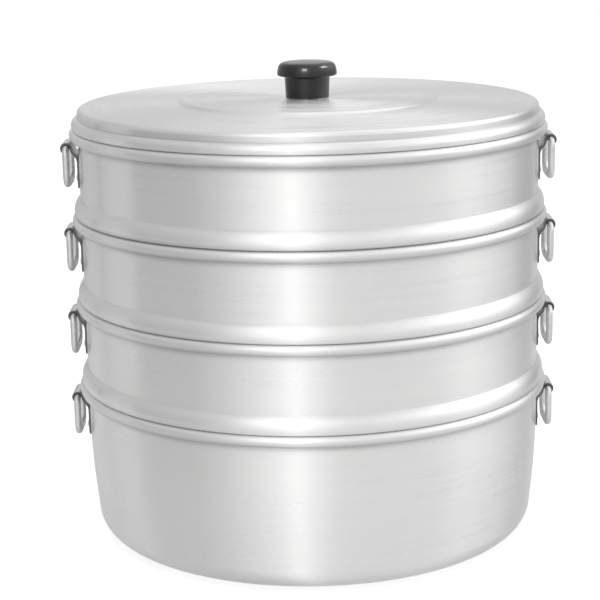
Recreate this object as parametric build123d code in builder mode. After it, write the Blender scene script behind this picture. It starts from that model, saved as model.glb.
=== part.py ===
# Stacked aluminium dumpling steamer: a base pot, three steaming tiers, a lid with a
# moulded knob, and two drop handles on every vessel. Millimetres, +Z up, origin at the
# middle of the underside of the base pot. Handles stand at -X (left) and +X (right).

from build123d import *
import math
import os

# Spun shells, shared by the base pot, the tiers and the lid
wall_radius = 148.4
sheet = 1.2
base_pot_height = 102.0
tier_pitch = 55.4
tier_names = ["lower_tier", "middle_tier", "upper_tier"]

# Rolled rim at the top of each vessel, measured out from the wall and down from the top
rim_projection = 5.6
rim_crown = 1.4
rim_widest_drop = 3.0
rim_height = 7.8

# Swaged bead at the foot of each tier and of the lid, which sits on the rim below
bead_projection = 4.0
bead_height = 11.5
bead_shoulder = 6.5
bead_tuck = 0.3

# Spigot under each bead, which drops inside the rim below and keeps the stack in line
spigot_clearance = 0.6
tier_spigot_depth = 7.0
lid_spigot_depth = 5.0

# Perforated floor of each tier
steam_hole_radius = 6.0
steam_hole_sides = 8
steam_ring_radii = [48.0, 98.0]
steam_ring_counts = [6, 12]

# Lower body of the base pot
pot_taper_start = 54.0
pot_corner_radius = 17.0
pot_taper = 3.8
pot_corner_turn = 45.0

# Lid
lid_bead_height = 7.6
lid_bead_shoulder = 4.0
lid_wall_top = 10.3
lid_shoulder_width = 3.4
lid_crown_height = 12.8
lid_disc_radius = 81.2
lid_disc_height = 15.8
lid_step_width = 2.4

# Moulded knob and the screw that holds it from inside the lid
knob_neck_radius = 14.3
knob_neck_height = 13.0
knob_radius = 19.3
knob_underside_slope = 1.6
knob_top_slope = 2.4
knob_height = 23.4
screw_radius = 2.5
screw_fit = 0.05
screw_grip = 12.0
screw_bore_spare = 1.0
lid_hole_clearance = 0.4
screw_head_width = 9.0
screw_head_height = 3.6

# Drop handle, a bent rod that turns in its bracket
rod_diameter = 4.2
pivot_fit = 0.06
pivot_standoff = 7.7
pivot_drop = 13.6
handle_width = 30.0
handle_drop = 23.4
handle_top_bend = 3.0
handle_foot_bend = 5.5

# Bracket, one strap riveted flat to the wall and curled over the rod
strap = 1.5
bracket_width = 21.0
plate_foot_drop = 40.0
plate_head_drop = 19.5
curl_start_angle = 200.0
curl_end_angle = -70.0
curl_steps = 9

# Values worked out from the ones above
wall_inner_radius = wall_radius - sheet
rim_radius = wall_radius + rim_projection
rim_top_radius = rim_radius - rim_crown
bead_radius = wall_radius + bead_projection
bead_foot_radius = bead_radius - bead_tuck
spigot_radius = wall_inner_radius - spigot_clearance
spigot_inner_radius = spigot_radius - sheet
rod_radius = rod_diameter / 2
rod_corner_radius = rod_radius / math.cos(math.pi / 8)
rod_chamfer = rod_diameter / (2 + math.sqrt(2))
pivot_radius = wall_radius + pivot_standoff
seat_heights = [base_pot_height + index * tier_pitch for index in range(4)]


def rim_outline(top):
    """Outer points of a rolled rim, from its flat top down to the wall."""
    return [
        (rim_top_radius, top),
        (rim_radius, top - rim_widest_drop),
        (wall_radius, top - rim_height),
    ]


def bead_outline(seat, height, shoulder):
    """Outer points of a swaged bead, from the wall down to its seat on the rim below."""
    return [
        (wall_radius, seat + height),
        (bead_radius, seat + shoulder),
        (bead_foot_radius, seat),
    ]


def spigot_outline(seat, depth):
    """Outer points of the spigot, from the bead's seat down to its foot."""
    return [
        (spigot_radius, seat),
        (spigot_radius, seat - depth),
    ]


def make_base_pot():
    """Deep pan with a rolled rim, a wall that draws in and a rounded bottom corner."""
    taper_radius = wall_radius - pot_taper
    corner = Vector(taper_radius - pot_corner_radius, pot_corner_radius)
    corner_middle = corner + Vector(pot_corner_radius, 0).rotate(Axis.Z, -pot_corner_turn)
    with BuildPart() as pot:
        with BuildSketch(Plane.XZ):
            with BuildLine():
                Polyline(
                    (0, 0),
                    (corner.X, 0),
                    (corner_middle.X, corner_middle.Y),
                    (taper_radius, pot_corner_radius),
                    (wall_radius, pot_taper_start),
                    *reversed(rim_outline(base_pot_height)),
                    (wall_inner_radius, base_pot_height),
                    (wall_inner_radius, pot_taper_start),
                    (taper_radius - sheet, pot_corner_radius),
                    (corner.X, sheet),
                    (0, sheet),
                    close=True,
                )
            make_face()
        revolve(axis=Axis.Z)
    return pot


def make_tier(seat):
    """Steaming tier: rim, wall, bead, spigot and a perforated floor, drawn in one piece."""
    foot = seat - tier_spigot_depth
    top = seat + tier_pitch
    with BuildPart() as tier:
        with BuildSketch(Plane.XZ):
            with BuildLine():
                Polyline(
                    (0, foot),
                    *reversed(spigot_outline(seat, tier_spigot_depth)),
                    *reversed(bead_outline(seat, bead_height, bead_shoulder)),
                    *reversed(rim_outline(top)),
                    (wall_inner_radius, top),
                    (wall_inner_radius, seat + sheet),
                    (spigot_inner_radius, seat + sheet),
                    (spigot_inner_radius, foot + sheet),
                    (0, foot + sheet),
                    close=True,
                )
            make_face()
        revolve(axis=Axis.Z)
        with BuildSketch(Plane.XY.offset(foot)):
            RegularPolygon(steam_hole_radius, steam_hole_sides)
            for ring_radius, count in zip(steam_ring_radii, steam_ring_counts):
                with PolarLocations(ring_radius, count):
                    RegularPolygon(steam_hole_radius, steam_hole_sides)
        extrude(amount=sheet, mode=Mode.SUBTRACT)
    return tier


def make_lid(seat):
    """Shallow lid with a bead, a spigot and a raised disc that carries the knob."""
    shoulder_radius = wall_radius - lid_shoulder_width
    step_radius = lid_disc_radius + lid_step_width
    with BuildPart() as lid:
        with BuildSketch(Plane.XZ):
            with BuildLine():
                Polyline(
                    (spigot_inner_radius, seat - lid_spigot_depth),
                    *reversed(spigot_outline(seat, lid_spigot_depth)),
                    *reversed(bead_outline(seat, lid_bead_height, lid_bead_shoulder)),
                    (wall_radius, seat + lid_wall_top),
                    (shoulder_radius, seat + lid_crown_height),
                    (step_radius, seat + lid_crown_height),
                    (lid_disc_radius, seat + lid_disc_height),
                    (0, seat + lid_disc_height),
                    (0, seat + lid_disc_height - sheet),
                    (lid_disc_radius - sheet, seat + lid_disc_height - sheet),
                    (step_radius - sheet, seat + lid_crown_height - sheet),
                    (spigot_inner_radius, seat + lid_crown_height - sheet),
                    close=True,
                )
            make_face()
        revolve(axis=Axis.Z)
        with Locations((0, 0, seat + lid_disc_height)):
            Hole(screw_radius + lid_hole_clearance, depth=2 * sheet)
    return lid


def make_knob(foot):
    """Mushroom knob in black moulded plastic, with a blind bore for its screw."""
    with BuildPart() as knob:
        with BuildSketch(Plane.XY.offset(foot)):
            Circle(knob_neck_radius)
        extrude(amount=knob_neck_height)
        with BuildSketch(Plane.XY.offset(foot + knob_neck_height)):
            Circle(knob_radius)
        cap = extrude(amount=knob_height - knob_neck_height)
        cap_rims = cap.edges().filter_by(GeomType.CIRCLE).sort_by(Axis.Z)
        chamfer(cap_rims[0], length=knob_underside_slope)
        chamfer(cap_rims[-1], length=knob_top_slope)
        with BuildSketch(Plane.XY.offset(foot)):
            Circle(screw_radius + screw_fit)
        extrude(amount=screw_grip + screw_bore_spare, mode=Mode.SUBTRACT)
    return knob


def make_knob_screw(foot):
    """Hexagon screw, its head under the lid's sheet and its shank up in the knob."""
    underside = foot - sheet
    with BuildPart() as screw:
        with BuildSketch(Plane.XY.offset(underside - screw_head_height)):
            RegularPolygon(screw_head_width / 2, 6, major_radius=False)
        extrude(amount=screw_head_height)
        with BuildSketch(Plane.XY.offset(underside)):
            Circle(screw_radius)
        extrude(amount=sheet + screw_grip)
    return screw


def make_bracket(side, rim_top):
    """Strap bracket: a plate on the wall and a curl that holds the handle's bar."""
    pivot_height = rim_top - pivot_drop
    turn = (curl_end_angle - curl_start_angle) / curl_steps
    bore = (rod_corner_radius + pivot_fit) / math.cos(math.radians(turn / 2))
    angles = [curl_start_angle + step * turn for step in range(curl_steps + 1)]
    pivot = Vector(pivot_radius, pivot_height)
    curl_outer = [pivot + Vector(bore + strap, 0).rotate(Axis.Z, angle) for angle in angles]
    curl_inner = [pivot + Vector(bore, 0).rotate(Axis.Z, angle) for angle in angles]
    plate_face = wall_radius + strap
    with BuildPart() as bracket:
        with BuildSketch(Plane.XZ.offset(-bracket_width / 2)):
            with BuildLine():
                Polyline(
                    (wall_radius - strap, rim_top - plate_foot_drop),
                    (wall_radius - strap, rim_top - plate_head_drop + strap),
                    (wall_radius + strap / 2, rim_top - plate_head_drop + strap),
                    *[(point.X, point.Y) for point in curl_outer],
                    *[(point.X, point.Y) for point in reversed(curl_inner)],
                    (plate_face, rim_top - plate_head_drop),
                    (plate_face, rim_top - plate_foot_drop),
                    close=True,
                )
            make_face()
        extrude(amount=bracket_width)
        with BuildSketch(Plane.XY.offset(rim_top - plate_foot_drop)):
            Circle(wall_radius)
        extrude(amount=plate_foot_drop, mode=Mode.SUBTRACT)
        if side == "left":
            mirror(about=Plane.YZ, mode=Mode.REPLACE)
    return bracket


def make_handle(side, rim_top):
    """Drop handle of bent rod, hanging from the bar that turns in the bracket."""
    bar = rim_top - pivot_drop
    half = handle_width / 2
    with BuildPart() as handle:
        with BuildSketch(Plane.YZ.offset(pivot_radius - rod_radius)):
            with BuildLine():
                Polyline(
                    (half - handle_top_bend, bar),
                    (half, bar - handle_top_bend),
                    (half, bar - handle_drop + handle_foot_bend),
                    (half - handle_foot_bend, bar - handle_drop),
                    (handle_foot_bend - half, bar - handle_drop),
                    (-half, bar - handle_drop + handle_foot_bend),
                    (-half, bar - handle_top_bend),
                    (handle_top_bend - half, bar),
                    close=True,
                )
            outline = make_face()
            offset(outline, amount=rod_radius, kind=Kind.INTERSECTION)
            offset(outline, amount=-rod_radius, kind=Kind.INTERSECTION, mode=Mode.SUBTRACT)
        extrude(amount=rod_diameter)
        rod_faces = handle.faces().filter_by(Axis.X)
        chamfer(rod_faces.edges(), length=rod_chamfer)
        if side == "left":
            mirror(about=Plane.YZ, mode=Mode.REPLACE)
    return handle


def save(name, piece):
    """Label one finished piece and write it as its own STEP file."""
    piece.part.label = name
    export_step(piece.part, f"parts/{name}.step")


os.makedirs("parts", exist_ok=True)

save("base_pot", make_base_pot())
for tier_name, seat_height in zip(tier_names, seat_heights):
    save(tier_name, make_tier(seat_height))
lid_seat = seat_heights[-1]
save("lid", make_lid(lid_seat))
save("knob", make_knob(lid_seat + lid_disc_height))
save("knob_screw", make_knob_screw(lid_seat + lid_disc_height))

for vessel_name, rim_top_height in zip(["base_pot", *tier_names], seat_heights):
    for hand in ["left", "right"]:
        save(f"{vessel_name}_{hand}_bracket", make_bracket(hand, rim_top_height))
        save(f"{vessel_name}_{hand}_handle", make_handle(hand, rim_top_height))
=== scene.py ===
# %% [markdown]
# A stack steamer for dumplings: a deep water pot, three tiers with perforated floors and a lid,
# all spun from aluminium sheet, with bent rod handles and a black moulded knob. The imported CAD
# model comes in as a fixed frame of 23 solids. All but the knob's screw are then replaced by
# finer pieces in the same place, so the joints that lift the tiers and swing the handles still
# carry the looks.

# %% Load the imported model
import math

import bmesh
import bpy
from mathutils import Matrix, Vector


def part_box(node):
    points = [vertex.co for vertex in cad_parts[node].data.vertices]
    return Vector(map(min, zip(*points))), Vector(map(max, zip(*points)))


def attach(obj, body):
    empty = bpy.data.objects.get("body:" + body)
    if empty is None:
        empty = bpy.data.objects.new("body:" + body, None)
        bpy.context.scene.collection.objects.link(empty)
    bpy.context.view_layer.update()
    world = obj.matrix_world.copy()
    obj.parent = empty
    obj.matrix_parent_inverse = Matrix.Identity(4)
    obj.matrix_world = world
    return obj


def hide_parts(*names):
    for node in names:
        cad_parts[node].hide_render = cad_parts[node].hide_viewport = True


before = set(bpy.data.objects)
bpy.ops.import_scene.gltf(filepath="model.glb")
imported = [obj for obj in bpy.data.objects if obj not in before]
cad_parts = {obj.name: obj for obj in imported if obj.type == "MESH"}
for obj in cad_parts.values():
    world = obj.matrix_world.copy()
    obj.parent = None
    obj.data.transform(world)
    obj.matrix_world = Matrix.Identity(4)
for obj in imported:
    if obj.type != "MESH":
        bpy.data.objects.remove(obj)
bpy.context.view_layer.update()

MM = 0.001

# %% [markdown]
# The photograph was taken from a little over a metre away with a long lens, so the rims look
# like flat ellipses and the upright walls hardly lean. A camera can be set by eye, but this one
# was fitted to the outlines of rims and seams, so that sizes can be compared too. It looks down
# a little and is turned by one degree, because the stack leans by that much in the picture.

# %% Camera
picture_width = 600
focal_length_in_pixels = 1808.6
sensor_width = 36.0
camera_place = Vector((-0.0073, -1.1672, 0.4191))
camera_pitch = math.radians(13.012)
camera_roll = math.radians(-1.091)

look = Vector((0.0, math.cos(camera_pitch), -math.sin(camera_pitch)))
level_right = Vector((1.0, 0.0, 0.0))
level_up = level_right.cross(look)
right = level_right * math.cos(camera_roll) + level_up * math.sin(camera_roll)
up = right.cross(look)

camera_data = bpy.data.cameras.new("photo_camera")
camera_data.sensor_width = sensor_width
camera_data.lens = focal_length_in_pixels / picture_width * sensor_width
camera = bpy.data.objects.new("photo_camera", camera_data)
camera.matrix_world = Matrix((right, up, -look)).transposed().to_4x4()
camera.location = camera_place
bpy.context.scene.collection.objects.link(camera)
bpy.context.scene.camera = camera
bpy.context.scene.view_settings.view_transform = "Standard"
print("Lens, mm:", round(camera_data.lens, 1))

# %% [markdown]
# Every material and every Geometry Nodes tree below is a handful of nodes. One helper adds a
# node, sets it up and links it, and another turns the hex colours that painters use into the
# linear values that a renderer adds up.

# %% Helpers for nodes and colours
def add_node(tree, kind, links=None, **settings):
    """Add one node. Each link is a socket to join, or a plain value to set, by input name or number."""
    node = tree.nodes.new(kind)
    for name, value in settings.items():
        setattr(node, name, value)
    for name, source in (links or {}).items():
        if isinstance(source, bpy.types.NodeSocket):
            tree.links.new(source, node.inputs[name])
        else:
            node.inputs[name].default_value = source
    return node


def linear(hex_colour):
    """An sRGB colour such as #C0C0C0 as linear red, green, blue and alpha."""
    channels = [int(hex_colour[start:start + 2], 16) / 255 for start in (1, 3, 5)]
    return [c / 12.92 if c <= 0.04045 else ((c + 0.055) / 1.055) ** 2.4 for c in channels] + [1.0]


def new_material(name):
    """An empty node material, its tree and its output node."""
    material = bpy.data.materials.new(name)
    material.use_nodes = True
    material.node_tree.nodes.clear()
    output = material.node_tree.nodes.new("ShaderNodeOutputMaterial")
    print("Material:", name)
    return material, material.node_tree, output


# %% [markdown]
# The steamer stands on white paper in a light room, cut out on white. Bare metal has hardly any
# colour of its own: what the eye reads as aluminium is the room mirrored in it, stretched into
# upright bands on the round walls. So the room is drawn first, as a white floor, a world that
# is brighter and darker in wide soft bands round the compass, and a few lamps.

# %% Floor
floor_radius = 6.0
floor_sides = 96
gap_under_pot = 0.0002
floor_mesh = bpy.data.meshes.new("paper_floor")
floor_shape = bmesh.new()
bmesh.ops.create_circle(floor_shape, cap_ends=True, radius=floor_radius, segments=floor_sides)
floor_shape.to_mesh(floor_mesh)
floor_shape.free()
floor = bpy.data.objects.new("paper_floor", floor_mesh)
floor.location.z = -gap_under_pot
bpy.context.scene.collection.objects.link(floor)
print("Floor, metres across:", 2 * floor_radius)

# %% [markdown]
# Paper is matt, so a diffuse shader would do for the eye. The metal asks for more: a wall mirrors
# the table first and the room past its edge, so further out the mirrored paper gives way to the
# room. An even glow stands for the light thrown back by walls and ceiling, with more of it for
# the camera, so that the sheet is white and still shows the soft shadow.

# %% White paper
table_edge = (0.2, 1.5)
room_share = (0.6, 1.0)
paper, tree, output = new_material("white_studio_paper")
ray = add_node(tree, "ShaderNodeLightPath")
matt_paper = add_node(tree, "ShaderNodeBsdfDiffuse", {"Color": linear("#E6E6E6")})
bounce = add_node(tree, "ShaderNodeEmission", {"Strength": 0.36})
lit_paper = add_node(tree, "ShaderNodeAddShader", {0: matt_paper.outputs[0], 1: bounce.outputs[0]})
glow = add_node(tree, "ShaderNodeEmission", {"Strength": 0.24})
bright_paper = add_node(tree, "ShaderNodeAddShader", {0: lit_paper.outputs[0], 1: glow.outputs[0]})
place = add_node(tree, "ShaderNodeTexCoord")
reach = add_node(tree, "ShaderNodeVectorMath", {0: place.outputs["Object"]}, operation="LENGTH")
past_table = add_node(tree, "ShaderNodeMapRange",
                      {"Value": reach.outputs["Value"],
                       "From Min": table_edge[0], "From Max": table_edge[1],
                       "To Min": room_share[0], "To Max": room_share[1]}, interpolation_type="SMOOTHSTEP")
mirror_share = add_node(tree, "ShaderNodeMath",
                        {0: ray.outputs["Is Glossy Ray"], 1: past_table.outputs["Result"]},
                        operation="MULTIPLY")
clear = add_node(tree, "ShaderNodeBsdfTransparent")
paper_or_room = add_node(tree, "ShaderNodeMixShader",
                         {"Fac": mirror_share.outputs[0], 1: lit_paper.outputs[0], 2: clear.outputs[0]})
paper_mix = add_node(tree, "ShaderNodeMixShader",
                     {"Fac": ray.outputs["Is Camera Ray"], 1: paper_or_room.outputs[0],
                      2: bright_paper.outputs[0]})
tree.links.new(paper_mix.outputs[0], output.inputs["Surface"])
floor_mesh.materials.append(paper)

# %% [markdown]
# A photographer lights metal with large white panels and dark gaps. They could be modelled as
# planes, but a world whose brightness depends on the compass bearing is simpler: a round wall
# mirrors each bearing once, so each band of the room becomes one upright band on the wall. Beads
# and rims lean back and mirror what is higher up, so each of three heights has its own ring.

# %% Bands of the room
# Brightness by compass bearing, in degrees: 0 is behind the camera, 90 is at the right. The first
# list is what the walls mirror, the second what the beads mirror, and the third, from higher up,
# is what the shoulder of the lid and the crests of the rims mirror.
low_bands = [
    (-180, 0.76), (-163, 0.60), (-159, 0.46), (-155, 0.58), (-136, 0.62), (-129, 0.63), (-126, 0.44),
    (-123, 0.64), (-110, 0.70), (-98, 0.71), (-95, 0.50), (-62, 0.54), (-46, 0.70), (-34, 0.84),
    (-24, 0.97), (-16, 1.16), (-9, 1.44), (0, 1.10), (12, 0.86), (45, 0.81), (66, 0.80), (80, 0.96),
    (87, 0.97), (100, 0.84), (114, 0.70), (128, 0.50), (140, 0.46), (153, 0.64), (168, 0.66), (180, 0.76),
]
high_bands = [
    (-180, 0.87), (-150, 0.64), (-100, 0.66), (-60, 0.68), (-46, 0.84), (-35, 1.22), (-24, 1.74),
    (-3, 1.70), (9, 1.36), (22, 1.14), (45, 1.34), (62, 1.66), (74, 1.95), (98, 2.05), (108, 2.05),
    (120, 1.90), (134, 1.15), (146, 0.74), (164, 0.75), (180, 0.87),
]
top_bands = [
    (-180, 1.25), (-120, 0.72), (-60, 0.92), (-28, 1.50), (-6, 1.55), (14, 1.15), (40, 1.00), (80, 1.20),
    (125, 1.45), (150, 1.45), (168, 1.30), (180, 1.25),
]
brightest_band = max(level for bearing_degrees, level in low_bands + high_bands + top_bands)


def band_ramp(tree, bands, turn):
    """A colour ramp that gives the brightness of each bearing, as a share of the brightest band."""
    ramp = add_node(tree, "ShaderNodeValToRGB", {"Fac": turn})
    ramp.color_ramp.interpolation = "EASE"
    stops = ramp.color_ramp.elements
    while len(stops) < len(bands):
        stops.new(0.5)
    for stop, (bearing_degrees, level) in zip(stops, bands):
        stop.position = (bearing_degrees + 180) / 360
        share = level / brightest_band
        stop.color = (share, share, share, 1.0)
    return ramp.outputs["Color"]


print("Bands in the low, high and top ring:", len(low_bands), len(high_bands), len(top_bands))

# %% World
# Where one ring of bands gives way to the next, as the sine of the angle above the horizon.
low_to_high = (-0.05, 0.45)
high_to_top = (0.50, 0.80)
shade_fill = 0.5

world = bpy.data.worlds.new("light_room")
world.use_nodes = True
bpy.context.scene.world = world
tree = world.node_tree
tree.nodes.clear()
place = add_node(tree, "ShaderNodeTexCoord")
axes = add_node(tree, "ShaderNodeSeparateXYZ", {0: place.outputs["Generated"]})
to_camera = add_node(tree, "ShaderNodeMath", {0: axes.outputs["Y"], 1: -1.0}, operation="MULTIPLY")
bearing = add_node(tree, "ShaderNodeMath",
                   {0: axes.outputs["X"], 1: to_camera.outputs[0]}, operation="ARCTAN2")
turn = add_node(tree, "ShaderNodeMapRange",
                {"Value": bearing.outputs[0], "From Min": -math.pi, "From Max": math.pi})
bands = band_ramp(tree, low_bands, turn.outputs["Result"])
for (start, end), ring in ((low_to_high, high_bands), (high_to_top, top_bands)):
    height = add_node(tree, "ShaderNodeMapRange",
                      {"Value": axes.outputs["Z"], "From Min": start, "From Max": end},
                      interpolation_type="SMOOTHSTEP")
    mix = add_node(tree, "ShaderNodeMixRGB",
                   {"Fac": height.outputs["Result"], "Color1": bands,
                    "Color2": band_ramp(tree, ring, turn.outputs["Result"])})
    bands = mix.outputs["Color"]

# Mirrors see the bands, matt surfaces an even half light, and the camera plain white.
ray = add_node(tree, "ShaderNodeLightPath")
room = add_node(tree, "ShaderNodeBackground", {"Color": bands, "Strength": brightest_band})
soft_room = add_node(tree, "ShaderNodeBackground", {"Color": linear("#FFFFFF"), "Strength": shade_fill})
white = add_node(tree, "ShaderNodeBackground", {"Color": linear("#FFFFFF"), "Strength": 1.0})
mirrored = add_node(tree, "ShaderNodeMixShader",
                    {"Fac": ray.outputs["Is Glossy Ray"], 1: soft_room.outputs[0], 2: room.outputs[0]})
all_round = add_node(tree, "ShaderNodeMixShader",
                     {"Fac": ray.outputs["Is Camera Ray"], 1: mirrored.outputs[0], 2: white.outputs[0]})
output = tree.nodes.new("ShaderNodeOutputWorld")
tree.links.new(all_round.outputs[0], output.inputs["Surface"])
print("World:", world.name)

# %% [markdown]
# The black knob shows two small lamps as crisp glints. Satin metal would smear the same lamps
# into bands with hard edges, and the picture has none, so light linking keeps them to the knob.
# A wide diffuser overhead, which nothing mirrors, gives the soft shadow on the paper.

# %% Lamps
steamer_middle = Vector((0.0, 0.0, 0.16))


def add_softbox(name, bearing_degrees, elevation_degrees, distance, size, radiance):
    """A rectangular lamp by compass bearing and elevation, turned to the middle of the steamer."""
    data = bpy.data.lights.new(name, "AREA")
    data.shape = "RECTANGLE"
    data.size, data.size_y = size
    data.energy = radiance * math.pi * size[0] * size[1]
    lamp = bpy.data.objects.new(name, data)
    bearing_angle = math.radians(bearing_degrees)
    elevation = math.radians(elevation_degrees)
    away = Vector((math.sin(bearing_angle) * math.cos(elevation),
                   -math.cos(bearing_angle) * math.cos(elevation), math.sin(elevation)))
    lamp.location = steamer_middle + away * distance
    lamp.rotation_euler = (-away).to_track_quat("-Z", "Y").to_euler()
    bpy.context.scene.collection.objects.link(lamp)
    print("Lamp:", name)
    return lamp


knob_sparkle = bpy.data.collections.new("seen_by_small_lamps")
left_lamp = add_softbox("lamp_left_of_camera", -11.0, 30.0, 2.2, (0.60, 0.55), 14.0)
right_lamp = add_softbox("lamp_at_right", 84.0, 42.0, 2.2, (0.95, 0.80), 13.0)
for small_lamp in (left_lamp, right_lamp):
    small_lamp.light_linking.receiver_collection = knob_sparkle
overhead = add_softbox("overhead_diffuser", 20.0, 84.0, 2.1, (1.8, 1.8), 2.2)
overhead.visible_glossy = False

# %% [markdown]
# Spun aluminium sheet starts bright and is left satin. The spinning roller and the last rub
# with an abrasive pad leave fine marks that run round the axis, so a lamp's reflection is drawn
# out across them, up and down the wall, while it stays crisp sideways. Anisotropic roughness
# gives that. A wrapped picture of brushed metal would show a seam, so noise that is stretched
# round the axis gives the marks themselves.

# %% Noise for metal and plastic
def turned_marks(tree, across_mm, ring_cells):
    """Noise that changes quickly along the profile, and round the axis follows a ring of few cells."""
    place = add_node(tree, "ShaderNodeTexCoord")
    axes = add_node(tree, "ShaderNodeSeparateXYZ", {0: place.outputs["Object"]})
    flat = add_node(tree, "ShaderNodeCombineXYZ", {"X": axes.outputs["X"], "Y": axes.outputs["Y"]})
    radius = add_node(tree, "ShaderNodeVectorMath", {0: flat.outputs[0]}, operation="LENGTH")
    heading = add_node(tree, "ShaderNodeVectorMath", {0: flat.outputs[0]}, operation="NORMALIZE")
    slow = add_node(tree, "ShaderNodeVectorMath",
                    {0: heading.outputs[0], "Scale": ring_cells}, operation="SCALE")
    slow_axes = add_node(tree, "ShaderNodeSeparateXYZ", {0: slow.outputs[0]})
    fast_radius = add_node(tree, "ShaderNodeMath",
                           {0: radius.outputs["Value"], 1: across_mm * MM}, operation="DIVIDE")
    fast_height = add_node(tree, "ShaderNodeMath",
                           {0: axes.outputs["Z"], 1: across_mm * MM}, operation="DIVIDE")
    spot = add_node(tree, "ShaderNodeCombineXYZ",
                    {"X": fast_radius.outputs[0], "Y": fast_height.outputs[0], "Z": slow_axes.outputs["X"]})
    noise = add_node(tree, "ShaderNodeTexNoise",
                     {"Vector": spot.outputs[0], "W": slow_axes.outputs["Y"],
                      "Scale": 1.0, "Detail": 1.0, "Roughness": 0.5}, noise_dimensions="4D")
    return noise.outputs[0]


def spread(tree, value, low, high):
    """A noise value, mostly from 0.3 to 0.7, laid out between two levels."""
    node = add_node(tree, "ShaderNodeMapRange",
                    {"Value": value, "From Min": 0.3, "From Max": 0.7, "To Min": low, "To Max": high})
    return node.outputs["Result"]


def blotches(tree, size_mm, detail):
    """Soft noise with patches of about the given size."""
    place = add_node(tree, "ShaderNodeTexCoord")
    noise = add_node(tree, "ShaderNodeTexNoise",
                     {"Vector": place.outputs["Object"], "Scale": 1.0 / (size_mm * MM),
                      "Detail": detail, "Roughness": 0.55})
    return noise.outputs[0]


# %% Tone of spun aluminium
# To the eye this is a pale, nearly neutral grey with faint rings in it. Real marks are a few
# tenths of a millimetre apart, too fine to show here, so they are drawn about ten times coarser.
mark_spacing_mm = 3.0
mark_ring_cells = 1.2
hand_patch_mm = 60.0

spun_aluminium, tree, output = new_material("satin_spun_aluminium")
coarse_marks = turned_marks(tree, mark_spacing_mm, mark_ring_cells)
handling = blotches(tree, hand_patch_mm, 3.0)
wear = add_node(tree, "ShaderNodeMath",
                {0: spread(tree, coarse_marks, 0.0, 0.6), 1: spread(tree, handling, 0.0, 0.4)},
                operation="ADD")
tone = add_node(tree, "ShaderNodeMixRGB",
                {"Fac": wear.outputs[0], "Color1": linear("#E0E0E0"), "Color2": linear("#E6E6E5")})

# Painted highlight lightens the crest of each rim. Painted shade darkens the crease under a rim,
# the roll's lower side, the seams and the lid's short wall, which are rougher there too. Both are written on
# the mesh by its profile.
highlight_attribute = add_node(tree, "ShaderNodeAttribute", attribute_name="painted_highlight")
shade_attribute = add_node(tree, "ShaderNodeAttribute", attribute_name="painted_shade")
patchy_shade = add_node(tree, "ShaderNodeMath",
                          {0: shade_attribute.outputs["Fac"], 1: spread(tree, handling, 0.75, 1.0)},
                          operation="MULTIPLY")
# Painted highlight: the crest of each rim is mixed towards near white.
highlit_tone = add_node(tree, "ShaderNodeMixRGB",
                       {"Fac": highlight_attribute.outputs["Fac"], "Color1": tone.outputs[0],
                        "Color2": linear("#F6F6F5")})
# Painted shade: creases, seams, the roll's lower side and the lid's short wall are mixed towards dark grey.
shaded_tone = add_node(tree, "ShaderNodeMixRGB",
                     {"Fac": patchy_shade.outputs[0], "Color1": highlit_tone.outputs[0],
                      "Color2": linear("#707070")})

# %% Gloss of spun aluminium
# The marks scatter light most across themselves. The roller also leaves shallow ripples, which
# make the edges of the mirrored bands waver. They are drawn about as far apart as real ones.
ripple_spacing_mm = 5.0
ripple_ring_cells = 1.6
ripple_depth_mm = 0.02
# Roughness where the painted shade lies.
shaded_roughness = 0.5

polish = add_node(tree, "ShaderNodeMath",
                  {0: spread(tree, coarse_marks, 0.26, 0.33), 1: spread(tree, handling, -0.02, 0.03)},
                  operation="ADD")
gloss = add_node(tree, "ShaderNodeMapRange",
                 {"Value": patchy_shade.outputs[0], "To Min": polish.outputs[0],
                  "To Max": shaded_roughness})
roller_ripples = turned_marks(tree, ripple_spacing_mm, ripple_ring_cells)
bump = add_node(tree, "ShaderNodeBump",
                {"Height": roller_ripples, "Strength": 0.3, "Distance": ripple_depth_mm * MM})
round_axis = add_node(tree, "ShaderNodeTangent", direction_type="RADIAL", axis="Z")
metal = add_node(tree, "ShaderNodeBsdfPrincipled",
                 {"Base Color": shaded_tone.outputs[0], "Metallic": 1.0, "Roughness": gloss.outputs["Result"],
                  "Anisotropic": 0.95, "Anisotropic Rotation": 0.25,
                  "Normal": bump.outputs["Normal"], "Tangent": round_axis.outputs[0]})
tree.links.new(metal.outputs["BSDF"], output.inputs["Surface"])
print("Noise, mm: marks", mark_spacing_mm, "ripples", ripple_spacing_mm, "patches", hand_patch_mm)
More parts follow.
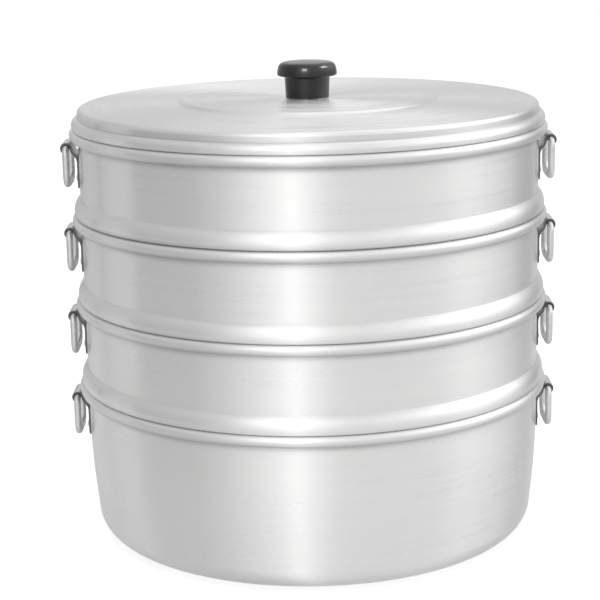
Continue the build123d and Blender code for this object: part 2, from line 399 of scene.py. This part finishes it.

# %% [markdown]
# The handles are drawn rod: pulling it through a die leaves a soft, even shine. The brackets are
# blanked from half hard sheet, a little duller, and their cut edges, the faces that look to the
# front and back, get painted shade. A rivet's head is struck smooth and shines most, and zinc
# plating is a cooler grey. They differ in tone and gloss alone, so one function makes all four.

# %% Rod, strap and rivet metal
def plain_metal(name, dull_hex, bright_hex, patch_mm, rough_low, rough_high, shaded_edge_hex=None):
    """Bare metal whose tone and gloss wander in patches. Faces to the front and back may get painted shade.
    """
    material, tree, output = new_material(name)
    patches = blotches(tree, patch_mm, 3.0)
    tone = add_node(tree, "ShaderNodeMixRGB",
                    {"Fac": spread(tree, patches, 0.0, 1.0), "Color1": linear(dull_hex),
                     "Color2": linear(bright_hex)})
    # Painted shade: faces that look to the front or back are darkened.
    if shaded_edge_hex:
        place = add_node(tree, "ShaderNodeTexCoord")
        facing = add_node(tree, "ShaderNodeSeparateXYZ", {0: place.outputs["Normal"]})
        sideways = add_node(tree, "ShaderNodeMath", {0: facing.outputs["Y"]}, operation="ABSOLUTE")
        shaded_edge_mask = add_node(tree, "ShaderNodeMapRange",
                       {"Value": sideways.outputs[0], "From Min": 0.6, "From Max": 0.9})
        tone = add_node(tree, "ShaderNodeMixRGB",
                        {"Fac": shaded_edge_mask.outputs["Result"], "Color1": tone.outputs[0],
                         "Color2": linear(shaded_edge_hex)})
    bump = add_node(tree, "ShaderNodeBump", {"Height": patches, "Strength": 0.12, "Distance": 0.02 * MM})
    metal = add_node(tree, "ShaderNodeBsdfPrincipled",
                     {"Base Color": tone.outputs[0], "Metallic": 1.0,
                      "Roughness": spread(tree, patches, rough_low, rough_high),
                      "Normal": bump.outputs["Normal"]})
    tree.links.new(metal.outputs["BSDF"], output.inputs["Surface"])
    return material


drawn_rod = plain_metal("drawn_aluminium_rod", "#CFCFCF", "#DCDCDB", 9.0, 0.40, 0.50)
# The last colour is painted shade on the strap's front and back edges.
strap_metal = plain_metal("blanked_aluminium_strap", "#C9CACA", "#DADADA", 7.0, 0.34, 0.46, "#626262")
rivet_metal = plain_metal("headed_aluminium_rivet", "#CFCFD0", "#E0E0DF", 2.0, 0.26, 0.38)
zinc_steel = plain_metal("zinc_plated_steel", "#B9BCC0", "#CFD1D2", 2.5, 0.24, 0.38)

# %% [markdown]
# The knob is moulded in black phenolic plastic. It leaves a polished mould, so it is glossy and
# shows small bright glints, and years of fingers leave it with a faint haze that softens them
# here and there. Two noises in the shader give the haze and a slight orange peel.

# %% Black moulded plastic
haze_patch_mm = 7.0
peel_patch_mm = 2.5
peel_depth_mm = 0.01

black_plastic, tree, output = new_material("black_moulded_plastic")
haze = blotches(tree, haze_patch_mm, 4.0)
peel = blotches(tree, peel_patch_mm, 1.0)
bump = add_node(tree, "ShaderNodeBump", {"Height": peel, "Strength": 0.1, "Distance": peel_depth_mm * MM})
tone = add_node(tree, "ShaderNodeMixRGB",
                {"Fac": spread(tree, haze, 0.0, 1.0), "Color1": linear("#161616"),
                 "Color2": linear("#1E1E1E")})
plastic = add_node(tree, "ShaderNodeBsdfPrincipled",
                   {"Base Color": tone.outputs[0], "Roughness": spread(tree, haze, 0.15, 0.21), "IOR": 1.5,
                    "Normal": bump.outputs["Normal"]})
tree.links.new(plastic.outputs["BSDF"], output.inputs["Surface"])

# %% [markdown]
# Shapes that follow a rule are grown by Geometry Nodes, from a source mesh and a few sizes. The
# modifier could stay live, but a plain mesh is easier to hand on, so that is kept.

# %% Run trees on a mesh and keep a plain result
weld_distance = 0.002 * MM
usual_crease_degrees = 35.0


def new_tree(name, inputs):
    """A Geometry Nodes tree with a geometry in and out, and named inputs of given kinds."""
    tree = bpy.data.node_groups.new(name, "GeometryNodeTree")
    tree.interface.new_socket("Geometry", in_out="INPUT", socket_type="NodeSocketGeometry")
    for label, kind in inputs.items():
        tree.interface.new_socket(label, in_out="INPUT", socket_type=kind)
    tree.interface.new_socket("Geometry", in_out="OUTPUT", socket_type="NodeSocketGeometry")
    return tree, tree.nodes.new("NodeGroupInput"), tree.nodes.new("NodeGroupOutput")


def end_tree(tree, geometry, finish, group_output):
    """Close a tree: real geometry that wears the finish."""
    real = add_node(tree, "GeometryNodeRealizeInstances", {"Geometry": geometry})
    finished = add_node(tree, "GeometryNodeSetMaterial",
                        {"Geometry": real.outputs[0], "Material": finish})
    tree.links.new(finished.outputs[0], group_output.inputs["Geometry"])
    print("Tree:", tree.name)


def line_mesh(name, points, closed=False):
    """A mesh of edges only, through points in metres."""
    count = len(points)
    edges = [(index, index + 1) for index in range(count - 1)]
    if closed:
        edges.append((count - 1, 0))
    mesh = bpy.data.meshes.new(name)
    mesh.from_pydata([tuple(point) for point in points], edges, [])
    return mesh


def smooth_outwards(mesh, crease_degrees):
    """Point all faces outwards and shade smooth except at creases."""
    shape = bmesh.new()
    shape.from_mesh(mesh)
    bmesh.ops.remove_doubles(shape, verts=shape.verts, dist=weld_distance)
    bmesh.ops.recalc_face_normals(shape, faces=shape.faces)
    shape.to_mesh(mesh)
    shape.free()
    mesh.shade_smooth()
    mesh.set_sharp_from_angle(angle=math.radians(crease_degrees))


def grow_piece(name, source, steps, material, crease_degrees=usual_crease_degrees):
    """Run trees one after another on a source mesh and return an object that holds the plain result."""
    piece = bpy.data.objects.new(name, source)
    bpy.context.scene.collection.objects.link(piece)
    for tree, sizes in steps:
        modifier = piece.modifiers.new(tree.name, "NODES")
        modifier.node_group = tree
        values = {**sizes, "Finish": material}
        for item in tree.interface.items_tree:
            if item.in_out == "INPUT" and item.name in values:
                modifier[item.identifier] = values[item.name]
    depsgraph = bpy.context.evaluated_depsgraph_get()
    result = bpy.data.meshes.new_from_object(piece.evaluated_get(depsgraph), depsgraph=depsgraph)
    piece.modifiers.clear()
    piece.data = result
    result.name = name
    smooth_outwards(result, crease_degrees)
    return piece


def finish_piece(piece, material, body, replaced=None):
    """Give a plain piece its material, body and slot, and hide the solid that it stands for."""
    piece.data.materials.clear()
    piece.data.materials.append(material)
    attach(piece, body)
    if replaced:
        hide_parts(replaced)
    triangles = sum(len(polygon.vertices) - 2 for polygon in piece.data.polygons)
    print(piece.name, "triangles:", triangles)


# %% [markdown]
# The pot, the tiers, the lid and the knob all follow one rule: a profile turned round the axis,
# as a spinning lathe does. The Screw modifier could turn a line too. Here a tree sweeps it round
# a small circle, and the painted shade and painted highlight that the line carries go along.

# %% Tree that turns a profile round the axis
# The circle needs some radius, and the profile is moved in by as much to make up for it.
hub_radius = 10 * MM
lathe_tree, lathe_in, lathe_out = new_tree(
    "turned_on_the_lathe", {"Steps round": "NodeSocketInt", "Finish": "NodeSocketMaterial"})
profile_line = add_node(lathe_tree, "GeometryNodeMeshToCurve", {"Mesh": lathe_in.outputs["Geometry"]})
laid_flat = add_node(lathe_tree, "GeometryNodeTransform",
                     {"Geometry": profile_line.outputs[0], "Translation": (-hub_radius, 0.0, 0.0),
                      "Rotation": (math.radians(90), 0.0, 0.0)})
turning_path = add_node(lathe_tree, "GeometryNodeCurvePrimitiveCircle",
                        {"Resolution": lathe_in.outputs["Steps round"], "Radius": hub_radius})
turned = add_node(lathe_tree, "GeometryNodeCurveToMesh",
                  {"Curve": turning_path.outputs[0], "Profile Curve": laid_flat.outputs[0]})
welded = add_node(lathe_tree, "GeometryNodeMergeByDistance",
                  {"Geometry": turned.outputs[0], "Distance": weld_distance})
end_tree(lathe_tree, welded.outputs[0], lathe_in.outputs["Finish"], lathe_out)

# %% [markdown]
# A press punches the steam holes in rings, with one in the middle. Holes painted in a material
# would let no light through, so a round punch is set on two circles and cut from the floor.

# %% Tree that punches rings of steam holes
punch_sides = 40
punch_length = 6 * MM
punch_tree, punch_in, punch_out = new_tree(
    "punched_steam_holes",
    {"Hole radius": "NodeSocketFloat",
     "Inner ring radius": "NodeSocketFloat", "Inner ring count": "NodeSocketInt",
     "Outer ring radius": "NodeSocketFloat", "Outer ring count": "NodeSocketInt",
     "Floor height": "NodeSocketFloat", "Finish": "NodeSocketMaterial"})
punch = add_node(punch_tree, "GeometryNodeMeshCylinder",
                 {"Vertices": punch_sides, "Radius": punch_in.outputs["Hole radius"], "Depth": punch_length})
rings = add_node(punch_tree, "GeometryNodeJoinGeometry")
for ring in ("Inner ring", "Outer ring"):
    circle = add_node(punch_tree, "GeometryNodeMeshCircle",
                      {"Vertices": punch_in.outputs[ring + " count"],
                       "Radius": punch_in.outputs[ring + " radius"]})
    punched_ring = add_node(punch_tree, "GeometryNodeInstanceOnPoints",
                            {"Points": circle.outputs[0], "Instance": punch.outputs[0]})
    punch_tree.links.new(punched_ring.outputs[0], rings.inputs[0])
punch_tree.links.new(punch.outputs[0], rings.inputs[0])
floor_place = add_node(punch_tree, "ShaderNodeCombineXYZ", {"Z": punch_in.outputs["Floor height"]})
punches = add_node(punch_tree, "GeometryNodeTransform",
                   {"Geometry": rings.outputs[0], "Translation": floor_place.outputs[0]})
real_punches = add_node(punch_tree, "GeometryNodeRealizeInstances", {"Geometry": punches.outputs[0]})
punched = add_node(punch_tree, "GeometryNodeMeshBoolean",
                   {"Mesh 1": punch_in.outputs["Geometry"], "Mesh 2": real_punches.outputs[0]},
                   operation="DIFFERENCE", solver="EXACT")
end_tree(punch_tree, punched.outputs["Mesh"], punch_in.outputs["Finish"], punch_out)

# %% [markdown]
# A handle is one rod, bent tightly at the upper corners and more widely at the lower ones. The
# tree rounds the four corners of a frame, each by its own radius, and sweeps a circle along.

# %% Tree that bends a rod along a rounded outline
bend_steps = 9
rod_sides = 20
rod_tree, rod_in, rod_out = new_tree(
    "bent_rod",
    {"Rod radius": "NodeSocketFloat", "Top bend": "NodeSocketFloat", "Foot bend": "NodeSocketFloat",
     "Foot bends below": "NodeSocketFloat", "Finish": "NodeSocketMaterial"})
outline = add_node(rod_tree, "GeometryNodeMeshToCurve", {"Mesh": rod_in.outputs["Geometry"]})
corner = add_node(rod_tree, "GeometryNodeInputPosition")
corner_axes = add_node(rod_tree, "ShaderNodeSeparateXYZ", {0: corner.outputs[0]})
is_foot = add_node(rod_tree, "FunctionNodeCompare",
                   {"A": corner_axes.outputs["Z"], "B": rod_in.outputs["Foot bends below"]},
                   data_type="FLOAT", operation="LESS_THAN")
bend_radius = add_node(rod_tree, "GeometryNodeSwitch",
                       {"Switch": is_foot.outputs["Result"], "False": rod_in.outputs["Top bend"],
                        "True": rod_in.outputs["Foot bend"]}, input_type="FLOAT")
bent = add_node(rod_tree, "GeometryNodeFilletCurve",
                {"Curve": outline.outputs[0], "Count": bend_steps, "Radius": bend_radius.outputs[0],
                 "Limit Radius": True}, mode="POLY")
section = add_node(rod_tree, "GeometryNodeCurvePrimitiveCircle",
                   {"Resolution": rod_sides, "Radius": rod_in.outputs["Rod radius"]})
rod = add_node(rod_tree, "GeometryNodeCurveToMesh",
               {"Curve": bent.outputs[0], "Profile Curve": section.outputs[0]})
end_tree(rod_tree, rod.outputs[0], rod_in.outputs["Finish"], rod_out)

# %% [markdown]
# A rivet is a soft pin whose ends are struck to low domes. Only the domes show, so each is a
# flattened ball, half sunk in the plate or the wall, and the tree sets one on each point.

# %% Tree that sets a rivet head on each point
head_segments = 20
head_rings = 10
rivet_tree, rivet_in, rivet_out = new_tree(
    "set_rivets", {"Head radius": "NodeSocketFloat", "Head height": "NodeSocketFloat",
                   "Finish": "NodeSocketMaterial"})
head = add_node(rivet_tree, "GeometryNodeMeshUVSphere",
                {"Segments": head_segments, "Rings": head_rings, "Radius": rivet_in.outputs["Head radius"]})
flattening = add_node(rivet_tree, "ShaderNodeMath",
                      {0: rivet_in.outputs["Head height"], 1: rivet_in.outputs["Head radius"]},
                      operation="DIVIDE")
head_scale = add_node(rivet_tree, "ShaderNodeCombineXYZ",
                      {"X": flattening.outputs[0], "Y": 1.0, "Z": 1.0})
low_head = add_node(rivet_tree, "GeometryNodeTransform",
                    {"Geometry": head.outputs[0], "Scale": head_scale.outputs[0]})
seats = add_node(rivet_tree, "GeometryNodeMeshToPoints", {"Mesh": rivet_in.outputs["Geometry"]})
heads = add_node(rivet_tree, "GeometryNodeInstanceOnPoints",
                 {"Points": seats.outputs[0], "Instance": low_head.outputs[0]})
end_tree(rivet_tree, heads.outputs[0], rivet_in.outputs["Finish"], rivet_out)

# %% [markdown]
# A profile is a list of (radius, height) points in millimetres. Arcs and soft bends are drawn
# with a few helper functions, and a sheet's inner line is its outer line moved in by the
# thickness of the sheet, mitred at the corners.

# %% Drawing profiles
def arc(centre, radii, start, end, steps):
    """Points on an arc or part of an ellipse, both ends included, angles in degrees."""
    points = []
    for step in range(steps + 1):
        angle = math.radians(start + (end - start) * step / steps)
        points.append((centre[0] + radii[0] * math.cos(angle), centre[1] + radii[1] * math.sin(angle)))
    return points


def weighted_mean(weights, points):
    """One (radius, height) point between others."""
    return tuple(sum(w * p[axis] for w, p in zip(weights, points)) for axis in (0, 1))


def bend(start, corner, end, steps):
    """A soft bend from start to end that leaves and arrives along the lines to a corner point."""
    points = []
    for step in range(steps + 1):
        t = step / steps
        points.append(weighted_mean(((1 - t) ** 2, 2 * t * (1 - t), t ** 2), (start, corner, end)))
    return points


def moved_in(line, thickness):
    """The line moved to its left by a thickness, mitred at each point."""
    shortest_edge = 1e-6
    sharpest_mitre = 0.3
    moved = []
    for index, point in enumerate(line):
        before = Vector(line[max(index - 1, 0)])
        after = Vector(line[min(index + 1, len(line) - 1)])
        here = Vector(point)
        ways = [way.normalized() for way in (here - before, after - here) if way.length > shortest_edge]
        lefts = [Vector((-way.y, way.x)) for way in ways]
        mean = sum(lefts, Vector((0.0, 0.0))).normalized()
        moved.append(tuple(here + mean * thickness / max(mean.dot(lefts[0]), sharpest_mitre)))
    return moved


def near_spots(point, spots):
    """How near a profile point is to the nearest spot: each has a radius, height, reach and strength."""
    near = 0.0
    for radius, height, reach, strength in spots:
        distance = math.hypot(point[0] - radius, point[1] - height)
        near = max(near, strength * max(0.0, 1.0 - distance / reach))
    return near


def turn_profile(name, profile, steps_round, material, closed=False, more_steps=(),
                 crease_degrees=usual_crease_degrees, shade_spots=(), highlight_spots=()):
    """Turn a profile into a round piece, and mark where painted shade and painted highlight go."""
    points = [(radius * MM, 0.0, height * MM) for radius, height in profile]
    source = line_mesh(name + "_profile", points, closed)
    for label, spots in (("painted_shade", shade_spots), ("painted_highlight", highlight_spots)):
        marks = source.attributes.new(label, "FLOAT", "POINT")
        marks.data.foreach_set("value", [near_spots(point, spots) for point in profile])
    steps = [(lathe_tree, {"Steps round": steps_round})] + list(more_steps)
    return grow_piece(name, source, steps, material, crease_degrees)


# %% [markdown]
# The steamer's own sizes, in millimetres. The wall is the same for every vessel, which is what
# lets the tiers stack in any order: a bead at each foot rests on the rolled rim below, and a
# short spigot under the bead drops inside that rim. The heights of the rims come from the frame.

# %% Sizes that the vessels share
wall_radius = 148.4
sheet = 1.2
vessel_names = ["base_pot", "lower_tier", "middle_tier", "upper_tier"]
rim_tops = {name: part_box(name)[1].z / MM for name in vessel_names}
steps_round_vessel = 224
print("Tops of the rims, mm:", {name: round(top, 1) for name, top in rim_tops.items()})

# %% Rolled rim
rim_roll_centre = 150.3
rim_roll_width = 3.7
rim_roll_above = 3.6
rim_roll_below = 3.8
rim_tuck_degrees = -118
rim_inner_round = 1.0
crease_drop = 7.6

# How strongly painted shade darkens the seam above each vessel, from 0 to 1.
seam_shade = {"base_pot": 0.15, "lower_tier": 0.25, "middle_tier": 0.45, "upper_tier": 0.1}


def rolled_rim(top):
    """Outer line of a rolled rim, from the wall below it over the top to the inner wall."""
    centre = (rim_roll_centre, top - rim_roll_above)
    inner_round_centre = (wall_radius - sheet + rim_inner_round, top - rim_inner_round)
    return (
        [(wall_radius, top - drop) for drop in (12.4, 11.2, 10.2, 9.4, 8.7, 8.1, crease_drop)]
        + arc(centre, (rim_roll_width, rim_roll_below), rim_tuck_degrees, 0, 16)
        + arc(centre, (rim_roll_width, rim_roll_above), 0, 90, 14)[1:]
        + arc(inner_round_centre, (rim_inner_round, rim_inner_round), 90, 180, 5)
    )


def shade_by_rim(top, shade_strength):
    """Spots of painted shade in the crease under a rolled rim, on its lower side, and in the seam above it.
    """
    return [(wall_radius, top - crease_drop, 3.6, 0.5), (151.4, top - 7.4, 5.2, 0.5),
            (152.0, top, 1.5, shade_strength)]


def highlight_by_rim(top):
    """A painted highlight on the crest of a rolled rim, just outside the bead that rests on it."""
    return [(152.8, top - 1.1, 1.5, 0.3)]


# %% Swaged bead
bead_radius = 152.4
bead_foot_radius = 152.1
bead_edge_radius = 1.0
spigot_radius = 146.6


def shade_by_bead(seat, shade_strength):
    """Painted shade on the underside of a bead's edge."""
    return [(152.0, seat, 2.0, shade_strength)]


def swaged_bead(seat, widest_height, height):
    """Outer line of a bead: its seat, a small rounded edge, and a curve in to the crease on the wall."""
    edge_centre = (bead_foot_radius - bead_edge_radius, seat + bead_edge_radius)
    rise = height - widest_height
    run = bead_radius - wall_radius
    curve = (rise * rise + run * run) / (2 * run)
    sweep = math.degrees(math.asin(rise / curve))
    return (
        [(spigot_radius, seat)]
        + arc(edge_centre, (bead_edge_radius, bead_edge_radius), -90, 0, 6)
        + arc((bead_radius - curve, seat + widest_height), (curve, curve), 0, sweep, 12)
    )


# %% [markdown]
# The pot is spun from one disc of sheet over a form: a flat bottom, a rounded corner, a wall that
# leans out at first and then stands upright, and the rolled rim. A cylinder with a bevel would
# miss the lean, so the whole line is drawn and turned.

# %% Base pot
pot_top = rim_tops["base_pot"]
pot_flat_radius = 127.6
pot_flat_edge = pot_flat_radius - 12.0
pot_corner_radius = 17.0
pot_lean_degrees = 5.86
pot_lean_top = (146.2, 32.5)
pot_bend_height = 54.0
pot_upright_height = 76.0

pot_outer = [(0.0, 0.0), (pot_flat_edge, 0.0)]
pot_outer += arc((pot_flat_radius, pot_corner_radius), (pot_corner_radius, pot_corner_radius),
                 -90, -pot_lean_degrees, 18)
pot_outer += bend(pot_lean_top, (wall_radius, pot_bend_height), (wall_radius, pot_upright_height), 12)
pot_inner = moved_in(pot_outer, sheet)
pot_profile = pot_outer + rolled_rim(pot_top) + list(reversed(pot_inner))
pot_profile[-1] = (0.0, sheet)
base_pot = turn_profile("base_pot_shell", pot_profile, steps_round_vessel, spun_aluminium,
                        shade_spots=shade_by_rim(pot_top, seam_shade["base_pot"]),
                        highlight_spots=highlight_by_rim(pot_top))
finish_piece(base_pot, spun_aluminium, "base_pot", "base_pot")

# %% [markdown]
# A tier's floor is spun in one piece with its wall. It sits low, level with the end of the
# spigot, and is punched with rings of round holes that let the steam through. The three tiers
# are the same, so one loop makes them, each on the rim below it.

# %% Tiers
spigot_depth = 7.0
floor_corner_radius = 3.0
bead_widest_height = 3.0
bead_height = 11.5
steam_holes = {"Hole radius": 6.0 * MM, "Inner ring radius": 48.0 * MM, "Inner ring count": 6,
               "Outer ring radius": 98.0 * MM, "Outer ring count": 12}

for below, name in zip(vessel_names, vessel_names[1:]):
    seat = rim_tops[below]
    top = rim_tops[name]
    floor_height = seat - spigot_depth
    corner_centre = (spigot_radius - floor_corner_radius, floor_height + floor_corner_radius)
    tier_outer = [(0.0, floor_height)]
    tier_outer += arc(corner_centre, (floor_corner_radius, floor_corner_radius), -90, 0, 8)
    tier_outer += swaged_bead(seat, bead_widest_height, bead_height)
    tier_inner = moved_in(tier_outer + [(wall_radius, top)], sheet)[:-1]
    tier_profile = tier_outer + rolled_rim(top) + list(reversed(tier_inner))
    tier_profile[-1] = (0.0, floor_height + sheet)
    tier = turn_profile(name + "_shell", tier_profile, steps_round_vessel, spun_aluminium,
                        more_steps=[(punch_tree, {**steam_holes, "Floor height": floor_height * MM})],
                        shade_spots=(shade_by_bead(seat, seam_shade[below])
                                    + shade_by_rim(top, seam_shade[name])),
                        highlight_spots=highlight_by_rim(top))
    finish_piece(tier, spun_aluminium, name, name)

# %% [markdown]
# The lid is shallow: a bead like the tiers', a short wall, a rounded shoulder and an almost flat
# top that rises by a millimetre to a raised disc. The disc stiffens the middle, where the knob
# is screwed on. It is a closed line, turned like the rest, so its inside is there too.

# %% Lid
lid_seat = rim_tops["upper_tier"]
lid_spigot_depth = 5.0
lid_bead_widest_height = 2.4
lid_bead_height = 7.1
lid_wall_top = 9.8
lid_shoulder_radius = 3.0
lid_shoulder_turn = 84
lid_crown_start = (140.0, lid_seat + 13.0)
lid_crown_middle = (112.0, lid_seat + 13.9)
lid_disc_foot_height = 14.0
lid_disc_height = 15.8
lid_disc_radius = 81.2
lid_step_width = 2.4
lid_step_bend = 1.6
lid_crown_end_gap = 4.0
screw_hole_radius = 2.9
# A spot of painted shade that darkens the lid's short wall.
lid_wall_shade_spot = (wall_radius, lid_seat + 8.4, 2.4, 0.28)

shoulder_centre = (wall_radius - lid_shoulder_radius, lid_seat + lid_wall_top)
disc_foot = (lid_disc_radius + lid_step_width, lid_seat + lid_disc_foot_height)
disc_edge = (lid_disc_radius, lid_seat + lid_disc_height)
step_middle = ((disc_foot[0] + disc_edge[0]) / 2, (disc_foot[1] + disc_edge[1]) / 2)
lid_outer = [(spigot_radius, lid_seat - lid_spigot_depth)]
lid_outer += swaged_bead(lid_seat, lid_bead_widest_height, lid_bead_height)
lid_outer += arc(shoulder_centre, (lid_shoulder_radius, lid_shoulder_radius), 0, lid_shoulder_turn, 10)
lid_outer += bend(lid_crown_start, lid_crown_middle, (disc_foot[0] + lid_crown_end_gap, disc_foot[1]), 8)
lid_outer += bend((disc_foot[0] + lid_step_bend, disc_foot[1]), disc_foot, step_middle, 4)
lid_outer += bend(step_middle, disc_edge, (disc_edge[0] - lid_step_bend, disc_edge[1]), 4)[1:]
lid_outer += [(radius, disc_edge[1]) for radius in (60.0, 30.0, screw_hole_radius)]
lid_profile = lid_outer + list(reversed(moved_in(lid_outer, sheet)))
lid = turn_profile("lid_shell", lid_profile, steps_round_vessel, spun_aluminium, closed=True,
                   shade_spots=shade_by_bead(lid_seat, seam_shade["upper_tier"]) + [lid_wall_shade_spot])
finish_piece(lid, spun_aluminium, "lid", "lid")

# %% [markdown]
# The knob is a mushroom: a stout neck and a cap that is widest near its lower edge, with sides
# that lean in and a nearly flat top, all with the soft edges of a mould. Under the lid its screw
# keeps the CAD solid's shape and wears zinc.

# %% Knob and its screw
knob_foot = lid_seat + lid_disc_height
knob_steps_round = 96
knob_crease_degrees = 50.0
knob_foot_radius = 13.7
knob_foot_round = 0.3
knob_neck_radius = 14.5
knob_cap_radius = 19.3
knob_height = 23.4

knob_profile = [(0.0, 0.0), (knob_foot_radius, 0.0)]
knob_profile += arc((knob_foot_radius, knob_foot_round), (knob_foot_round, knob_foot_round), -90, 0, 3)
knob_profile += [(knob_neck_radius, 11.6)]
knob_profile += bend((knob_neck_radius, 12.2), (14.6, 13.3), (15.8, 13.5), 5)
knob_profile += bend((18.3, 13.9), (knob_cap_radius, 14.1), (knob_cap_radius, 15.1), 5)
knob_profile += bend((knob_cap_radius, 15.4), (19.0, 18.8), (18.2, 20.4), 6)
knob_profile += bend((18.2, 20.4), (17.1, 22.3), (14.6, 22.6), 10)[1:]
knob_profile += [(12.0, 22.88), (8.0, 23.18), (4.0, 23.35), (0.0, knob_height)]
knob_profile = [(radius, knob_foot + height) for radius, height in knob_profile]
knob = turn_profile("knob_moulding", knob_profile, knob_steps_round, black_plastic,
                    crease_degrees=knob_crease_degrees)
finish_piece(knob, black_plastic, "lid", "knob")
knob_sparkle.objects.link(knob)

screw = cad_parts["knob_screw"]
for slot in screw.material_slots:
    slot.material = zinc_steel

# %% [markdown]
# Each drop handle is one rod bent into a closed loop, and its upper bar turns in the curl of a
# strap bracket. The strap lies on the wall, leans out under the rim and curls over the bar. A
# box with a tube would miss that lean, so the strap's own section is swept along its path.

# %% Sizes of handles, brackets and rivets
pivot_radius = 156.1
pivot_drop = 13.6
rod_radius = 2.1
handle_half_width = 15.0
handle_drop = 23.4
top_bend = 4.0
foot_bend = 7.0

strap = 1.5
strap_edge_radius = 0.4
strap_crease_degrees = 40.0
bracket_half_width = 10.5
plate_foot_drop = 40.0
plate_corner_radius = 3.0
neck_start_drop = 9.0
neck_bend_drop = 4.0
curl_rise = 4.5
neck_steps = 8
curl_radius = 3.17
curl_end_degrees = -70.0

rivet_half_spacing = 5.5
rivet_drop = 33.0
rivet_head_radius = 2.6
rivet_head_height = 0.9
rivet_crease_degrees = 60.0
print("Pivots of the handles, mm from the axis:", pivot_radius)

# %% Bracket
def strap_path(rim_top):
    """Middle line of the strap in (distance from the axis, height), from foot to end of curl."""
    pivot_height = rim_top - pivot_drop
    plate_middle = wall_radius + strap / 2
    neck_start = pivot_height - neck_start_drop
    curl_side = pivot_radius - curl_radius
    foot = rim_top - plate_foot_drop
    line = [(plate_middle, foot + step) for step in (0.0, 0.15, 0.6, 1.5, 3.0, 8.0)]
    line += [(plate_middle, foot + (neck_start - foot) * share) for share in (0.6, 1.0)]
    controls = ((plate_middle, neck_start), (plate_middle, pivot_height - neck_bend_drop),
                (curl_side, pivot_height - curl_rise), (curl_side, pivot_height))
    for step in range(1, neck_steps):
        t = step / neck_steps
        weights = ((1 - t) ** 3, 3 * t * (1 - t) ** 2, 3 * t * t * (1 - t), t ** 3)
        line.append(weighted_mean(weights, controls))
    line += arc((pivot_radius, pivot_height), (curl_radius, curl_radius), 180, curl_end_degrees, 20)
    return line


def strap_section(half_width):
    """A thin rectangle with rounded edges, as (across, through) points."""
    half_strap = strap / 2
    edge = strap_edge_radius
    section = []
    for across_sign, through_sign, start in ((1, 1, 0), (-1, 1, 90), (-1, -1, 180), (1, -1, 270)):
        centre = (across_sign * (half_width - edge), through_sign * (half_strap - edge))
        section += arc(centre, (edge, edge), start, start + 90, 3)
    return section


def make_bracket(name, side, rim_top):
    """Sweep the strap's section along its path. The plate is dished to lie against the round wall."""
    line = strap_path(rim_top)
    foot = rim_top - plate_foot_drop
    neck_bend = rim_top - pivot_drop - neck_bend_drop
    shape = bmesh.new()
    rings = []
    for index, (distance, height) in enumerate(line):
        before = Vector(line[max(index - 1, 0)])
        after = Vector(line[min(index + 1, len(line) - 1)])
        way = (after - before).normalized()
        to_square = plate_corner_radius - min(height - foot, plate_corner_radius)
        corner_cut = plate_corner_radius - math.sqrt(plate_corner_radius ** 2 - to_square ** 2)
        hug = max(0.0, min(1.0, (neck_bend - height) / (neck_start_drop - neck_bend_drop)))
        ring = []
        for across, through in strap_section(bracket_half_width - corner_cut):
            dish = (wall_radius - math.sqrt(wall_radius ** 2 - across ** 2)) * hug
            x = distance + way.y * through - dish
            z = height - way.x * through
            ring.append(shape.verts.new((side * x * MM, across * MM, z * MM)))
        rings.append(ring)
    for ring, following in zip(rings, rings[1:]):
        for index in range(len(ring)):
            nearby = (index + 1) % len(ring)
            shape.faces.new((ring[index], ring[nearby], following[nearby], following[index]))
    shape.faces.new(rings[0])
    shape.faces.new(rings[-1])
    mesh = bpy.data.meshes.new(name)
    shape.to_mesh(mesh)
    shape.free()
    smooth_outwards(mesh, strap_crease_degrees)
    piece = bpy.data.objects.new(name, mesh)
    bpy.context.scene.collection.objects.link(piece)
    return piece


# %% Handle and rivets
def make_handle(name, side, rim_top):
    """Bend the rod of one handle. Its upper bar lies in the bracket's curl."""
    bar_height = rim_top - pivot_drop
    foot_height = bar_height - handle_drop
    corners = [(handle_half_width, bar_height), (handle_half_width, foot_height),
               (-handle_half_width, foot_height), (-handle_half_width, bar_height)]
    points = [(side * pivot_radius * MM, across * MM, height * MM) for across, height in corners]
    values = {"Rod radius": rod_radius * MM, "Top bend": top_bend * MM, "Foot bend": foot_bend * MM,
              "Foot bends below": (bar_height + foot_height) / 2 * MM}
    return grow_piece(name, line_mesh(name + "_line", points, closed=True), [(rod_tree, values)], drawn_rod)


def make_rivets(name, side, rim_top):
    """Two rivets through plate and wall, with a head outside and a head inside."""
    height = rim_top - rivet_drop
    dish = wall_radius - math.sqrt(wall_radius ** 2 - rivet_half_spacing ** 2)
    points = []
    for face in (wall_radius + strap - dish, wall_radius - sheet - dish):
        for across in (-rivet_half_spacing, rivet_half_spacing):
            points.append((side * face * MM, across * MM, height * MM))
    mesh = bpy.data.meshes.new(name + "_seats")
    mesh.from_pydata(points, [], [])
    values = {"Head radius": rivet_head_radius * MM, "Head height": rivet_head_height * MM}
    return grow_piece(name, mesh, [(rivet_tree, values)], rivet_metal, rivet_crease_degrees)


# %% One set for each side of each vessel
for vessel in vessel_names:
    for hand, side in (("left", -1), ("right", 1)):
        label = vessel + "_" + hand
        bracket = make_bracket(label + "_strap", side, rim_tops[vessel])
        finish_piece(bracket, strap_metal, vessel, label + "_bracket")
        rivets = make_rivets(label + "_rivets", side, rim_tops[vessel])
        finish_piece(rivets, rivet_metal, vessel)
        handle = make_handle(label + "_rod", side, rim_tops[vessel])
        finish_piece(handle, drawn_rod, label + "_handle", label + "_handle")
